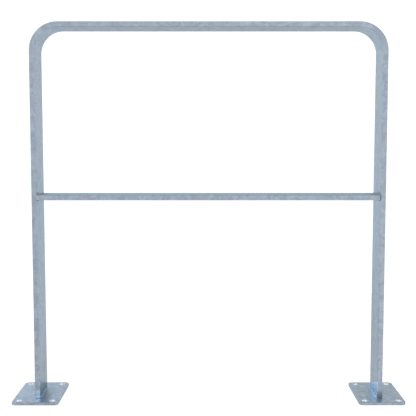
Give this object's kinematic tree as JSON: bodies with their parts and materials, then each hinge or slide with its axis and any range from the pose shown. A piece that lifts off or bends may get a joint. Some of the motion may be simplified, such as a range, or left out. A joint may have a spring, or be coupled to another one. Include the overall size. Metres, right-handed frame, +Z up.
{
  "type": "crowd control barrier",
  "caption": "Fixed hoop barrier of bent flat steel bar with a mid rail, welded to drilled base plates that bolt to the ground, hot-dip galvanised.",
  "frame": {"origin": "on the ground, midway between the legs and midway through the bar's depth", "axes": "+X along the barrier's width, +Y through the bar's depth to the rear, +Z up"},
  "size_m": [1.117, 0.19, 1.075],
  "materials": {
    "galvanised_bar": "hot-dip galvanised, soft blue-grey with a faint spangle",
    "galvanised_plate": "hot-dip galvanised, soft grey with a fine mottle",
    "galvanised_weld": "hot-dip galvanised weld bead, darker and rippled"
  },
  "bodies": {
    "root": {"hoop": "galvanised_bar", "mid_rail": "galvanised_bar", "left_base_plate": "galvanised_plate", "right_base_plate": "galvanised_plate", "left_foot_weld": "galvanised_weld", "right_foot_weld": "galvanised_weld", "left_rail_upper_weld": "galvanised_weld", "left_rail_lower_weld": "galvanised_weld", "right_rail_upper_weld": "galvanised_weld", "right_rail_lower_weld": "galvanised_weld"}
  },
  "joints": []
}
